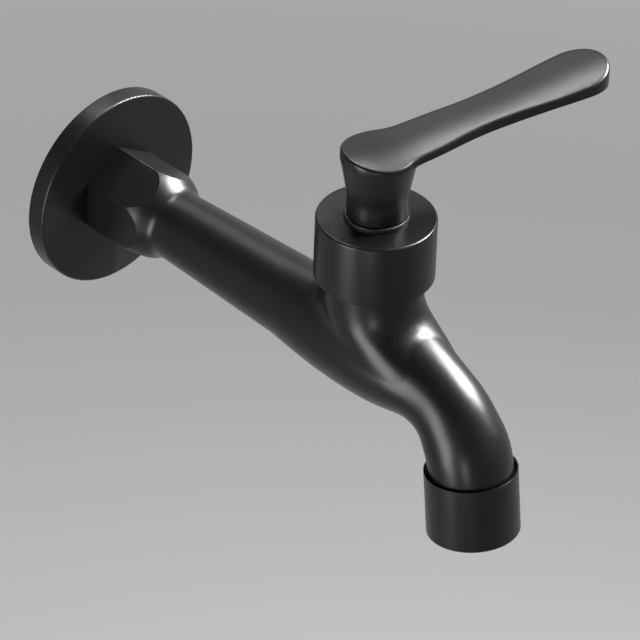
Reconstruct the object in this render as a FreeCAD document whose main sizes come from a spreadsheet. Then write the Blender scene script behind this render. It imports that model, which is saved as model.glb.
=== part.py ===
"""Wall-mounted cold water tap: a long cast body with a quarter-turn lever and an aerated spout.

The mounting plane is y = 0. The inlet thread passes it along +Y, the body reaches out along -Y,
Z is up and X runs across the tap. Lengths are in millimetres, angles in degrees.
"""
import FreeCAD, Part
import math
import os

import Sketcher

Vector = FreeCAD.Vector
Placement = FreeCAD.Placement
Rotation = FreeCAD.Rotation

doc = FreeCAD.newDocument("wall_tap")
sheet = doc.addObject("Spreadsheet::Sheet", "sizes")

SIZES = [
    # wall end of the body
    ("inlet_thread_radius", 10.478),
    ("inlet_thread_length", 14.0),
    ("inlet_bore_radius", 7.0),
    ("thread_lead_in", 1.0),
    ("thread_relief_depth", 1.1),
    ("thread_relief_length", 2.0),
    ("hex_edge_round", 0.5),
    ("hex_across_flats", 25.0),
    ("hex_dome_radius", 14.5),
    ("hex_dome_reach", 20.0),
    ("hex_dome_blend", 5.0),
    # flange, its seal and the inlet strainer
    ("flange_radius", 30.0),
    ("flange_depth", 6.0),
    ("flange_wall", 1.6),
    ("flange_edge_round", 0.7),
    ("flange_hole_gap", 0.3),
    ("wall_seal_radius", 20.0),
    ("wall_seal_hole_radius", 11.6),
    ("strainer_radius", 8.2),
    ("strainer_rim", 1.6),
    ("strainer_wall", 0.9),
    ("strainer_depth", 8.5),
    ("strainer_tip_radius", 4.6),
    ("strainer_slot_width", 1.2),
    ("strainer_slots", 10),
    # pipe, belly and spout, all round in section
    ("cap_axis_reach", 111.75),
    ("pipe_start_radius", 9.85),
    ("pipe_end_radius", 12.05),
    ("pipe_end_reach", 80.0),
    ("belly_radius", 14.45),
    ("slope_start", 10.0),
    ("slope_bend_radius", 50.0),
    ("slope_angle", 17.2),
    ("drop_bend_radius", 24.0),
    ("waist_dip", 32.0),
    ("waist_radius", 11.2),
    ("waist_lift", 0.45),
    ("outlet_dip_full", 72.0),
    ("outlet_tilt", 6.25),
    ("outlet_radius", 12.25),
    ("neck_radius", 14.0),
    ("neck_foot_front", 20.5),
    ("neck_foot_back", 3.0),
    ("neck_foot_narrow", 0.8),
    ("neck_blend", 9.0),
    # valve chamber and waterway inside the body
    ("seat_level", 2.6),
    ("seat_web", 2.6),
    ("seat_hole_radius", 5.2),
    ("seat_ring_radius", 8.6),
    ("seat_ring_height", 1.2),
    ("lower_chamber_radius", 7.2),
    ("lower_chamber_depth", 11.0),
    ("inlet_throat_radius", 5.3),
    ("chamber_radius", 10.2),
    ("outlet_way_radius", 5.8),
    ("outlet_way_level", 8.6),
    ("outlet_bore_radius", 9.0),
    # bonnet cap and the ring that centres the handle on it
    ("cap_bottom", 25.0),
    ("cap_height", 19.2),
    ("cap_radius", 17.3),
    ("cap_roof", 1.8),
    ("cap_wall", 1.8),
    ("cap_edge_round", 0.8),
    ("cap_seat_gap", 0.2),
    ("collar_radius", 13.2),
    ("collar_height", 6.4),
    ("thread_gap", 0.03),
    ("ring_radius", 9.35),
    ("ring_height", 1.5),
    ("ring_wall", 1.2),
    ("ring_spigot", 3.2),
    ("fit_gap", 0.05),
    # headwork: brass body, spindle and what seals it
    ("headwork_thread_length", 9.0),
    ("washer_thickness", 1.0),
    ("washer_radius", 12.6),
    ("headwork_hex", 22.0),
    ("headwork_hex_height", 5.6),
    ("stem_housing_radius", 6.9),
    ("stem_housing_top", 45.2),
    ("skirt_radius", 9.0),
    ("skirt_bore_radius", 7.9),
    ("skirt_bottom", 4.2),
    ("window_bottom", 13.2),
    ("window_top", 20.4),
    ("window_width", 13.6),
    ("thrust_shoulder", 21.6),
    ("thrust_washer_thickness", 0.8),
    ("spindle_radius", 5.0),
    ("spindle_flange_radius", 7.0),
    ("stop_radius", 7.75),
    ("stop_angle", 48.0),
    ("stop_rib_radius", 7.2),
    ("stop_rib_angle", 40.0),
    ("spline_radius", 4.0),
    ("spline_depth", 0.4),
    ("spline_teeth", 20),
    ("spline_top", 59.0),
    ("o_ring_thickness", 1.7),
    ("o_ring_groove_width", 2.2),
    ("lower_o_ring_level", 27.5),
    ("upper_o_ring_level", 33.5),
    ("clip_thickness", 0.9),
    ("clip_radius", 6.5),
    ("clip_groove_depth", 0.75),
    ("clip_mouth", 5.0),
    # ceramic discs and the rubber seat
    ("disc_radius", 7.75),
    ("disc_thickness", 3.6),
    ("fixed_disc_bottom", 9.4),
    ("disc_film", 0.02),
    ("disc_tab_width", 2.8),
    ("disc_tab_reach", 8.7),
    ("port_angle", 80.0),
    ("port_inner_radius", 2.0),
    ("port_outer_radius", 6.4),
    ("drive_slot_width", 3.0),
    ("drive_slot_depth", 1.8),
    ("drive_gap", 0.3),
    ("seat_seal_hole", 5.3),
    ("seal_ring_wall", 0.9),
    # lever
    ("lever_heading", 16.0),
    ("closed_turn", 74.0),
    ("hub_gap", 0.3),
    ("hub_radius", 8.75),
    ("hub_straight", 4.4),
    ("hub_top_radius", 11.05),
    ("lever_root_level", 67.3),
    ("lever_rise_angle", 9.6),
    ("lever_root_thickness", 3.15),
    ("lever_rim", 0.8),
    ("lever_run_in", 14.0),
    ("lever_floor_dip", 1.27),
    ("lever_under_angle", 7.0),
    ("lever_crown", 2.0),
    ("lever_belly", 3.4),
    ("lever_waist_reach", 27.0),
    ("lever_waist_width", 15.0),
    ("lever_tip_reach", 62.3),
    ("lever_tip_radius", 9.7),
    ("lever_underside_blend", 4.0),
    ("lever_edge_round", 1.0),
    ("socket_radius", 7.3),
    ("socket_depth", 1.9),
    ("grub_screw_radius", 2.0),
    ("grub_screw_level", 50.7),
    ("grub_screw_length", 3.2),
    ("screw_key", 2.0),
    ("plug_radius", 2.6),
    ("plug_thickness", 1.2),
    # aerator
    ("aerator_radius", 13.5),
    ("aerator_length", 20.1),
    ("aerator_rise", 1.75),
    ("aerator_overlap", 2.8),
    ("aerator_rim_gap", 0.6),
    ("aerator_rim_chamfer", 0.35),
    ("aerator_edge_round", 0.7),
    ("aerator_thread_radius", 11.95),
    ("aerator_thread_length", 7.6),
    ("aerator_lip", 1.3),
    ("aerator_mouth_radius", 10.7),
    ("aerator_washer", 1.5),
    ("cage_radius", 11.6),
    ("cage_mouth_radius", 10.5),
    ("cage_bore_radius", 9.4),
    ("cage_ledge", 0.5),
    ("grid_thickness", 2.2),
    ("grid_pitch", 3.3),
    ("grid_rib", 0.7),
    ("strainer_disc", 0.8),
    ("diffuser_disc", 1.6),
    ("diffuser_drop", 2.0),
    ("spray_hole_radius", 0.55),
]

for row, (alias, value) in enumerate(SIZES, start=1):
    sheet.set(f"A{row}", alias)
    sheet.set(f"B{row}", str(value))
    sheet.setAlias(f"B{row}", alias)
doc.recompute()


class Size:
    """A length, angle or count that knows its number and the expression of the sheet behind it."""

    def __init__(self, number, text=None):
        self.number = float(number)
        self.text = text

    def written(self):
        return self.text if self.text else f"({self.number!r})"

    def joined(self, other, sign, number):
        bound = self.text or other.text
        return Size(number, f"({self.written()} {sign} {other.written()})" if bound else None)

    def __add__(self, other):
        other = as_size(other)
        return self.joined(other, "+", self.number + other.number)

    def __sub__(self, other):
        other = as_size(other)
        return self.joined(other, "-", self.number - other.number)

    def __mul__(self, other):
        other = as_size(other)
        return self.joined(other, "*", self.number * other.number)

    def __truediv__(self, other):
        other = as_size(other)
        return self.joined(other, "/", self.number / other.number)

    def __radd__(self, other):
        return as_size(other) + self

    def __rtruediv__(self, other):
        return as_size(other) / self

    def __rsub__(self, other):
        return as_size(other) - self

    def __rmul__(self, other):
        return as_size(other) * self

    def __neg__(self):
        return as_size(-1) * self


def as_size(value):
    return value if isinstance(value, Size) else Size(value)


def sine(angle):
    angle = as_size(angle)
    return Size(math.sin(math.radians(angle.number)), angle.text and f"sin({angle.text})")


def cosine(angle):
    angle = as_size(angle)
    return Size(math.cos(math.radians(angle.number)), angle.text and f"cos({angle.text})")


class SheetSizes:
    """Reads one size of the sheet by its alias."""

    def __getattr__(self, alias):
        return Size(getattr(sheet, alias), "sizes." + alias)


at = SheetSizes()


def bind(thing, path, value):
    """Ties a property to the sheet, or sets nothing but its number where it is a plain one."""
    value = as_size(value)
    thing.setExpression(path, value.written())


def place(thing, x=0.0, y=0.0, z=0.0, turn=None):
    """Puts an object at a point that follows the sheet, turned by (axis, angle) where one is given."""
    corner = [as_size(v) for v in (x, y, z)]
    base = Vector(*[v.number for v in corner])
    if turn:
        axis, angle = turn[0], as_size(turn[1])
        thing.Placement = Placement(base, Rotation(axis, angle.number))
        if angle.text:
            bind(thing, "Placement.Rotation.Angle", angle)
    else:
        thing.Placement = Placement(base, thing.Placement.Rotation)
    for name, v in zip("xyz", corner):
        if v.text:
            bind(thing, "Placement.Base." + name, v)
    return thing


# Drawing helpers: a body, a sketch on one of its planes, and outlines held by their distances

def new_body(label):
    body = doc.addObject("PartDesign::Body", label)
    body.Label = label
    return body


def origin_part(body, role):
    return next(f for f in body.Origin.OriginFeatures if f.Role == role)


def new_sketch(body, name, plane="XY_Plane", lift=0.0, spin=0.0):
    """A sketch on an origin plane, moved out along the plane's normal and turned about it."""
    sketch = body.newObject("Sketcher::SketchObject", name)
    sketch.AttachmentSupport = [(origin_part(body, plane), "")]
    sketch.MapMode = "FlatFace"
    lift = as_size(lift)
    spin = as_size(spin)
    sketch.AttachmentOffset = Placement(Vector(0, 0, lift.number), Rotation(Vector(0, 0, 1), spin.number))
    if lift.text:
        bind(sketch, "AttachmentOffset.Base.z", lift)
    if spin.text and spin.number:
        bind(sketch, "AttachmentOffset.Rotation.Angle", spin)
    return sketch


def hold(sketch, kind, value, *ends):
    """Adds one constraint with a datum and ties it to the sheet."""
    index = sketch.addConstraint(Sketcher.Constraint(kind, *ends, value.number))
    if value.text:
        sketch.setExpression(f"Constraints[{index}]", value.text)


def draw_outline(sketch, points):
    """A closed outline of straight sides through points, each held by its place."""
    corners = [(as_size(a), as_size(b)) for a, b in points]
    ends = corners[1:] + corners[:1]
    sides = [Part.LineSegment(Vector(a.number, b.number, 0), Vector(c.number, d.number, 0))
             for (a, b), (c, d) in zip(corners, ends)]
    lines = sketch.addGeometry(sides, False)
    joints = [Sketcher.Constraint("Coincident", lines[i - 1], 2, line, 1) for i, line in enumerate(lines)]
    sketch.addConstraint(joints)
    for line, (a, b) in zip(lines, corners):
        hold(sketch, "DistanceX", a, -1, 1, line, 1)
        hold(sketch, "DistanceY", b, -1, 1, line, 1)


def draw_circle(sketch, radius, x=0.0, y=0.0):
    radius, x, y = as_size(radius), as_size(x), as_size(y)
    circle = sketch.addGeometry(Part.Circle(Vector(x.number, y.number, 0), Vector(0, 0, 1), radius.number), False)
    hold(sketch, "Radius", radius, circle)
    hold(sketch, "DistanceX", x, -1, 1, circle, 3)
    hold(sketch, "DistanceY", y, -1, 1, circle, 3)


def polygon(sides, across_flats, x=0.0, y=0.0, first=0.0):
    """Corners of a regular polygon, given by the distance between its opposite flats."""
    corner_radius = across_flats / (2 * math.cos(math.pi / sides))
    steps = [first + 360.0 / sides * i for i in range(sides)]
    return [(x + corner_radius * cosine(a), y + corner_radius * sine(a)) for a in steps]


def rectangle(left, right, low, high):
    return [(left, low), (right, low), (right, high), (left, high)]


def sector(inner, outer, centre, width, steps=4):
    """Outline of a ring's part between two radii, centred on an angle, with its arcs in short sides."""
    angles = [centre - width / 2 + width * (step / steps) for step in range(steps + 1)]
    there = [(outer * cosine(a), outer * sine(a)) for a in angles]
    back = [(inner * cosine(a), inner * sine(a)) for a in reversed(angles)]
    return there + back


def turned(label, points, plane="XZ_Plane"):
    """A body turned about the second axis of the plane that its outline is drawn on."""
    body = new_body(label)
    sketch = new_sketch(body, label + "_profile", plane)
    draw_outline(sketch, points)
    turn = body.newObject("PartDesign::Revolution", label + "_turned")
    turn.Profile = sketch
    turn.ReferenceAxis = (sketch, ["V_Axis"])
    turn.Angle = 360
    return body


def pad(body, name, sketch, length):
    feature = body.newObject("PartDesign::Pad", name)
    feature.Profile = sketch
    bind(feature, "Length", length)
    body.Tip = feature
    return feature


def pocket(body, name, sketch, length, both_ways=False, reverse=False):
    """Cuts against the sketch's normal, or with it where reverse is set, or both ways."""
    feature = body.newObject("PartDesign::Pocket", name)
    feature.Profile = sketch
    feature.Midplane = both_ways
    feature.Reversed = reverse
    bind(feature, "Length", length)
    body.Tip = feature
    return feature


def repeat_round(body, name, feature, count):
    pattern = body.newObject("PartDesign::PolarPattern", name)
    pattern.Originals = [feature]
    pattern.Axis = (origin_part(body, "Z_Axis"), [""])
    pattern.Angle = 360
    bind(pattern, "Occurrences", count)
    body.Tip = pattern
    return pattern


def near(a, b):
    return abs(a - b) < 0.01


def rim(radius, level, along="z"):
    """Tells whether an edge is the full circle of that radius at that level."""
    radius, level = as_size(radius).number, as_size(level).number

    def test(edge):
        if type(edge.Curve).__name__ != "Circle":
            return False
        return near(edge.Curve.Radius, radius) and near(getattr(edge.Curve.Center, along), level)

    return test


def soften(body, kind, amount, *tests):
    """Rounds (Fillet) or bevels (Chamfer) the edges of a body that pass one of the tests."""
    doc.recompute()
    base = body.Tip
    names = [f"Edge{i}" for i, edge in enumerate(base.Shape.Edges, start=1) if any(t(edge) for t in tests)]
    if not names:
        raise RuntimeError(f"{body.Label}: no edge to {kind.lower()}")
    feature = body.newObject("PartDesign::" + kind, f"{body.Label}_{kind.lower()}")
    feature.Base = (base, names)
    bind(feature, "Radius" if kind == "Fillet" else "Size", amount)
    body.Tip = feature
    return feature


def boolean(kind, label, base, *tools):
    """Part boolean of named objects: Cut, Fuse or Common."""
    tool = tools[0]
    if len(tools) > 1:
        tool = doc.addObject("Part::MultiFuse", label + "_tools")
        tool.Shapes = list(tools)
    result = doc.addObject("Part::" + kind, label)
    result.Base = base
    result.Tool = tool
    result.Label = label
    return result


def cylinder(label, radius, height):
    shape = doc.addObject("Part::Cylinder", label)
    bind(shape, "Radius", radius)
    bind(shape, "Height", height)
    return shape


def hoop_loft(label, stations):
    """A smooth solid through round hoops: stations are (y, z, heading below the horizontal, radius).

    A fifth value is half the hoop's height, where it stands taller than it is wide.
    """
    hoops = []
    for i, (y, z, dip, radius, *tall) in enumerate(stations):
        name = f"{label}_hoop_{i}"
        if tall:
            hoop = doc.addObject("Part::Ellipse", name)
            hoop.MajorRadius = 2 * as_size(tall[0]).number
            bind(hoop, "MinorRadius", radius)
            bind(hoop, "MajorRadius", tall[0])
            place(hoop, 0.0, y, z)
            hoop.Placement.Rotation = Rotation(Vector(1, 1, 1), 240)
        else:
            hoop = doc.addObject("Part::Circle", name)
            bind(hoop, "Radius", radius)
            place(hoop, 0.0, y, z, (Vector(1, 0, 0), 90 + as_size(dip)))
        hoops.append(hoop)
    loft = doc.addObject("Part::Loft", label)
    loft.Sections = hoops
    loft.Solid = True
    loft.Ruled = False
    loft.MaxDegree = 5
    return loft


# Levels and places that several pieces share

shoulder_level = at.cap_bottom - at.cap_seat_gap
collar_top = shoulder_level + at.collar_height
hex_bottom = collar_top + at.washer_thickness
hex_top = hex_bottom + at.headwork_hex_height
cap_top = at.cap_bottom + at.cap_height
ring_top = cap_top + at.ring_height
hub_bottom = ring_top + at.hub_gap
thread_bottom = collar_top - at.headwork_thread_length
fixed_disc_top = at.fixed_disc_bottom + at.disc_thickness
moving_disc_bottom = fixed_disc_top + at.disc_film
moving_disc_top = moving_disc_bottom + at.disc_thickness
drive_level = moving_disc_top + at.drive_gap
thrust_level = at.thrust_shoulder - at.thrust_washer_thickness
clip_bottom = at.stem_housing_top + at.fit_gap
bearing_radius = at.spindle_radius + at.fit_gap

slope_start_reach = at.cap_axis_reach + at.slope_start
slope_end_reach = slope_start_reach + at.slope_bend_radius * sine(at.slope_angle)
slope_end_level = at.slope_bend_radius * (cosine(at.slope_angle) - 1)


def slope_point(dip):
    """Centre of the body on its first, wide bend, where it points this far below the horizontal."""
    return -slope_start_reach - at.slope_bend_radius * sine(dip), at.slope_bend_radius * (cosine(dip) - 1)


def drop_point(dip):
    """Centre of the spout on its second, tight bend, where it points this far below the horizontal."""
    reach = slope_end_reach + at.drop_bend_radius * (sine(dip) - sine(at.slope_angle))
    level = slope_end_level - at.drop_bend_radius * (cosine(at.slope_angle) - cosine(dip))
    return -reach, level


def eased(start, end, share):
    """A value on its smooth way from start to end, with no slope at either."""
    return start + (end - start) * ((1 - math.cos(math.pi * share)) / 2)


outlet_dip = 90 - at.outlet_tilt
bend_end_y, bend_end_z = drop_point(outlet_dip)
rim_y = bend_end_y + at.aerator_rise * sine(at.outlet_tilt)
rim_z = bend_end_z + at.aerator_rise * cosine(at.outlet_tilt)


def below_rim(distance):
    """A point on the spout's outlet axis, this far below the aerator's upper rim."""
    distance = as_size(distance)
    return rim_y - distance * sine(at.outlet_tilt), rim_z - distance * cosine(at.outlet_tilt)


thread_start = at.aerator_overlap
thread_end = at.aerator_overlap + at.aerator_thread_length


def on_outlet(thing):
    """Moves a piece drawn about Z, with the aerator's upper rim at zero, onto the tilted outlet."""
    return place(thing, 0.0, rim_y, rim_z, (Vector(-1, 0, 0), at.outlet_tilt))


def on_valve_axis(thing, turn=0.0):
    """Moves a piece drawn about Z onto the axis of the cap and the handle."""
    turn = as_size(turn)
    spin = (Vector(0, 0, 1), turn) if turn.number else None
    return place(thing, 0.0, -at.cap_axis_reach, 0.0, spin)


pipe_run_in = 6


def pipe_radius(reach):
    """Radius of the tapering pipe this far from the wall."""
    taper = (at.pipe_end_radius - at.pipe_start_radius) / (at.pipe_end_reach - at.hex_dome_reach)
    return at.pipe_start_radius + taper * (reach - at.hex_dome_reach)


def casting_run():
    """Stations of the casting's outside, from the end of the straight pipe to the outlet thread."""
    run = []
    for lead in (pipe_run_in, pipe_run_in / 2, 0):
        run.append((lead - at.pipe_end_reach, 0, 0, pipe_radius(at.pipe_end_reach - lead)))
    # the belly swells up to the cap's axis
    for share in (0.2, 0.4, 0.6, 0.8):
        reach = at.pipe_end_reach + (at.cap_axis_reach - at.pipe_end_reach) * share
        swell = math.sin(math.pi / 2 * share)
        run.append((-reach, 0, 0, at.pipe_end_radius + (at.belly_radius - at.pipe_end_radius) * swell))
    for advance, swell in ((0.0, 0.0), (0.6, 0.12), (1.2, 0.28), (1.7, 0.44)):
        run.append((-at.cap_axis_reach - at.slope_start * advance, 0, 0,
                    eased(at.belly_radius, at.waist_radius, swell)))
    y, z = slope_point(at.slope_angle)
    run.append((y, z + 0.6 * at.waist_lift, at.slope_angle, eased(at.belly_radius, at.waist_radius, 0.8)))
    # the waist lies a little above the bend's own line
    for share, lift in ((0.0, 1.0), (0.33, 0.6), (0.66, 0.2), (1.0, 0.0)):
        dip = at.waist_dip + (at.outlet_dip_full - at.waist_dip) * share
        y, z = drop_point(dip)
        run.append((y, z + at.waist_lift * lift, dip, eased(at.waist_radius, at.outlet_radius, share)))
    run.append((bend_end_y, bend_end_z, outlet_dip, at.outlet_radius))
    run.append((*below_rim(thread_start), outlet_dip, at.outlet_radius))
    return run


def make_tap_body():
    """One casting: threaded inlet, hexagon, tapering pipe, valve chamber and falling spout."""
    shank = turned("shank", [
        (0, at.inlet_thread_length),
        (at.inlet_thread_radius - at.thread_lead_in, at.inlet_thread_length),
        (at.inlet_thread_radius, at.inlet_thread_length - at.thread_lead_in),
        (at.inlet_thread_radius, at.thread_relief_length - at.flange_depth),
        (at.inlet_thread_radius - at.thread_relief_depth, at.thread_relief_length - at.flange_depth),
        (at.inlet_thread_radius - at.thread_relief_depth, -at.flange_depth - 1),
        (0, -at.flange_depth - 1)], "XY_Plane")

    # the hexagon's far end is domed down onto the pipe
    prism = doc.addObject("Part::Prism", "hexagon")
    prism.Polygon = 6
    bind(prism, "Circumradius", at.hex_across_flats / math.sqrt(3))
    bind(prism, "Height", at.hex_dome_reach - at.flange_depth + at.hex_dome_radius)
    place(prism, 0.0, -at.flange_depth)
    prism.Placement.Rotation = Rotation(Vector(1, 0, 0), 90) * Rotation(Vector(0, 0, 1), 90)
    barrel = cylinder("hexagon_barrel", at.hex_dome_radius, at.hex_dome_reach)
    place(barrel, turn=(Vector(1, 0, 0), 90))
    ball = doc.addObject("Part::Sphere", "hexagon_ball")
    bind(ball, "Radius", at.hex_dome_radius)
    place(ball, 0.0, -at.hex_dome_reach)
    dome = boolean("Fuse", "hexagon_dome", barrel, ball)
    hexagon = boolean("Common", "domed_hexagon", prism, dome)
    doc.recompute()
    crisp = doc.addObject("Part::Fillet", "hexagon_edges")
    crisp.Base = hexagon
    crisp.Edges = [(i, at.hex_edge_round.number, at.hex_edge_round.number)
                   for i, edge in enumerate(hexagon.Shape.Edges, start=1) if is_hexagon_ridge(edge)]

    spout = hoop_loft("belly_and_spout", casting_run())
    straight_end = at.pipe_end_reach - pipe_run_in
    pipe = doc.addObject("Part::Cone", "straight_pipe")
    bind(pipe, "Radius1", at.pipe_start_radius)
    bind(pipe, "Radius2", pipe_radius(straight_end))
    bind(pipe, "Height", straight_end - at.hex_dome_reach)
    place(pipe, 0.0, -at.hex_dome_reach, 0.0, (Vector(1, 0, 0), 90))
    root = boolean("Fuse", "pipe_in_dome", crisp, pipe)
    doc.recompute()
    flow = doc.addObject("Part::Fillet", "dome_to_pipe")
    flow.Base = root
    flow.Edges = [(i, at.hex_dome_blend.number, at.hex_dome_blend.number)
                  for i, edge in enumerate(root.Shape.Edges, start=1) if is_dome_foot(root.Shape, edge)]

    tee = boolean("Fuse", "neck_on_belly", spout, make_neck())
    doc.recompute()
    blend = doc.addObject("Part::Fillet", "neck_rounding")
    blend.Base = tee
    blend.Edges = [(i, at.neck_blend.number, at.neck_blend.number)
                   for i, edge in enumerate(tee.Shape.Edges, start=1) if is_neck_corner(tee.Shape, edge)]

    collar_overlap = 6
    collar = cylinder("collar", at.collar_radius, at.collar_height + collar_overlap)
    place(collar, 0.0, -at.cap_axis_reach, shoulder_level - collar_overlap)
    nose_overlap = 2
    nose = cylinder("outlet_thread", at.aerator_thread_radius, at.aerator_thread_length + nose_overlap)
    on_outlet(nose)
    place(nose, 0.0, *below_rim(thread_end), (Vector(-1, 0, 0), at.outlet_tilt))
    outside = doc.addObject("Part::MultiFuse", "casting_outside")
    outside.Shapes = [blend, flow, shank, collar, nose]

    # inside: chamber and seat under the handle, and the ways in and out of it
    valve_bore = turned("valve_bore", [
        (0, -at.lower_chamber_depth),
        (at.lower_chamber_radius, -at.lower_chamber_depth),
        (at.lower_chamber_radius, at.seat_level - at.seat_web),
        (at.seat_hole_radius, at.seat_level - at.seat_web),
        (at.seat_hole_radius, at.seat_level),
        (at.seat_ring_radius, at.seat_level),
        (at.seat_ring_radius, at.seat_level - at.seat_ring_height),
        (at.chamber_radius, at.seat_level - at.seat_ring_height),
        (at.chamber_radius, thread_bottom),
        (at.inlet_thread_radius, thread_bottom),
        (at.inlet_thread_radius, collar_top + 1),
        (0, collar_top + 1)])
    on_valve_axis(valve_bore)
    throat_level = at.seat_level - at.seat_web - at.inlet_throat_radius - at.fit_gap
    chamber_back = at.cap_axis_reach - at.lower_chamber_radius
    straight = cylinder("inlet_bore", at.inlet_bore_radius, at.pipe_end_reach + at.inlet_thread_length + 1)
    place(straight, 0.0, at.inlet_thread_length + 1, 0.0, (Vector(1, 0, 0), 90))
    way_in = hoop_loft("inlet_way", [
        (-at.pipe_end_reach, 0, 0, at.inlet_bore_radius),
        ((-at.pipe_end_reach * 3 - chamber_back) / 4, throat_level / 6, 0,
         (at.inlet_bore_radius * 3 + at.inlet_throat_radius) / 4),
        ((-at.pipe_end_reach - chamber_back * 3) / 4, throat_level * 5 / 6, 0,
         (at.inlet_bore_radius + at.inlet_throat_radius * 3) / 4),
        (-chamber_back, throat_level, 0, at.inlet_throat_radius),
        (-at.cap_axis_reach, throat_level, 0, at.inlet_throat_radius)])
    way_out_stations = [
        (-at.cap_axis_reach - at.lower_chamber_radius, at.outlet_way_level, 0, at.outlet_way_radius),
        (-slope_start_reach - 1, at.outlet_way_level - 0.6, 10, at.outlet_way_radius),
        (-(slope_start_reach + slope_end_reach) / 2 - 1, at.outlet_way_level / 2, 35, at.outlet_way_radius),
        (*drop_point(at.waist_dip), at.waist_dip + 8, (at.outlet_way_radius * 2 + at.outlet_bore_radius) / 3)]
    for share in (0.4, 0.75, 1.0):
        dip = at.waist_dip + (outlet_dip - at.waist_dip) * share
        radius = at.outlet_way_radius + (at.outlet_bore_radius - at.outlet_way_radius) * (1 + 2 * share) / 3
        way_out_stations.append((*drop_point(dip), dip, radius))
    way_out_stations.append((*below_rim(thread_end + 1), outlet_dip, at.outlet_bore_radius))
    way_out = hoop_loft("outlet_way", way_out_stations)
    strainer_seat = cylinder("strainer_seat", at.strainer_radius + at.fit_gap, at.strainer_rim + 1)
    place(strainer_seat, 0.0, at.inlet_thread_length + 1, 0.0, (Vector(1, 0, 0), 90))
    return boolean("Cut", "tap_body", outside, valve_bore, straight, way_in, way_out, strainer_seat)


# how far down each hoop of the neck stands, and its lean to the front and to the back, as shares
NECK_HOOPS = [
    (0.0, 0.0, 0.0), (0.06, 0.002, 0.01), (0.12, 0.008, 0.04), (0.27, 0.04, 0.1), (0.4, 0.125, 0.2),
    (0.52, 0.305, 0.3), (0.68, 0.63, 0.4), (0.85, 0.91, 0.5), (1.0, 1.0, 0.5)]
NECK_OVAL = 0.005


def make_neck():
    """Upright neck under the cap, whose foot leans out over the spout like the foot of a boot."""
    hoops = []
    for i, (drop, front, back) in enumerate(NECK_HOOPS):
        lean_front = at.neck_foot_front * front
        lean_back = at.neck_foot_back * back
        half_length = at.neck_radius + (lean_front + lean_back) / 2 + NECK_OVAL
        half_width = at.neck_radius - at.neck_foot_narrow * max(0.0, drop - 0.3)
        hoop = doc.addObject("Part::Ellipse", f"neck_hoop_{i}")
        hoop.MajorRadius = 2 * half_length.number
        bind(hoop, "MinorRadius", half_width)
        bind(hoop, "MajorRadius", half_length)
        place(hoop, 0.0, (lean_back - lean_front) / 2 - at.cap_axis_reach, shoulder_level * (1 - drop))
        hoop.Placement.Rotation = Rotation(Vector(0, 0, 1), 90)
        hoops.append(hoop)
    loft = doc.addObject("Part::Loft", "neck")
    loft.Sections = hoops
    loft.Solid = True
    loft.MaxDegree = 5
    return loft


def is_neck_corner(shape, edge):
    """Tells the edges where the neck meets the pipe and the spout."""
    faces = shape.ancestorsOfType(edge, Part.Face)
    kinds = {type(face.Surface).__name__ for face in faces}
    box = edge.BoundBox
    return kinds == {"BSplineSurface"} and box.ZMin > 0.05 and box.XLength > at.neck_radius.number


def is_dome_foot(shape, edge):
    """Tells the round edge where the hexagon's dome meets the pipe."""
    kinds = {type(face.Surface).__name__ for face in shape.ancestorsOfType(edge, Part.Face)}
    return kinds == {"Sphere", "Cone"}


def is_hexagon_ridge(edge):
    """Tells the edges between two flats of the hexagon, which run along its axis."""
    box = edge.BoundBox
    return box.YLength > 5 and box.XLength < 0.1 and box.ZLength < 0.1


def make_escutcheon():
    """Round cover pressed to the wall: a flat face with a turned-back rim, hollow behind."""
    back = -at.flange_depth + at.flange_wall
    hole = at.inlet_thread_radius + at.flange_hole_gap
    body = turned("escutcheon", [
        (hole, -at.flange_depth),
        (at.flange_radius, -at.flange_depth),
        (at.flange_radius, 0),
        (at.flange_radius - at.flange_wall, 0),
        (at.flange_radius - at.flange_wall, back),
        (hole, back)], "XY_Plane")
    soften(body, "Fillet", at.flange_edge_round, rim(at.flange_radius, -at.flange_depth, "y"))
    return body


def make_wall_seal():
    """Soft ring behind the cover that closes the hole in the wall round the thread."""
    hole = at.wall_seal_hole_radius
    back = -at.flange_depth + at.flange_wall
    return turned("wall_seal", [(hole, back), (at.wall_seal_radius, back), (at.wall_seal_radius, 0), (hole, 0)],
                  "XY_Plane")


def make_inlet_strainer():
    """Slotted plastic basket held by its rim in the mouth of the inlet."""
    face = at.strainer_depth
    body = turned("inlet_strainer", [
        (0, 0),
        (at.strainer_tip_radius, 0),
        (at.inlet_bore_radius - at.flange_hole_gap, face - at.strainer_rim),
        (at.strainer_radius, face - at.strainer_rim),
        (at.strainer_radius, face),
        (at.inlet_bore_radius - at.flange_hole_gap - at.strainer_wall, face),
        (at.strainer_tip_radius - at.strainer_wall, at.strainer_wall),
        (0, at.strainer_wall)])
    sketch = new_sketch(body, "strainer_slot", "XZ_Plane", at.strainer_tip_radius - at.strainer_wall * 3)
    draw_outline(sketch, rectangle(-at.strainer_slot_width / 2, at.strainer_slot_width / 2,
                                   at.strainer_wall * 1.5, face - at.strainer_rim - at.strainer_wall))
    slot = pocket(body, "strainer_slot_cut", sketch, at.strainer_radius, reverse=True)
    repeat_round(body, "strainer_slots_round", slot, at.strainer_slots)
    place(body, 0.0, at.inlet_thread_length - face, 0.0, (Vector(1, 0, 0), -90))
    return body


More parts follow.
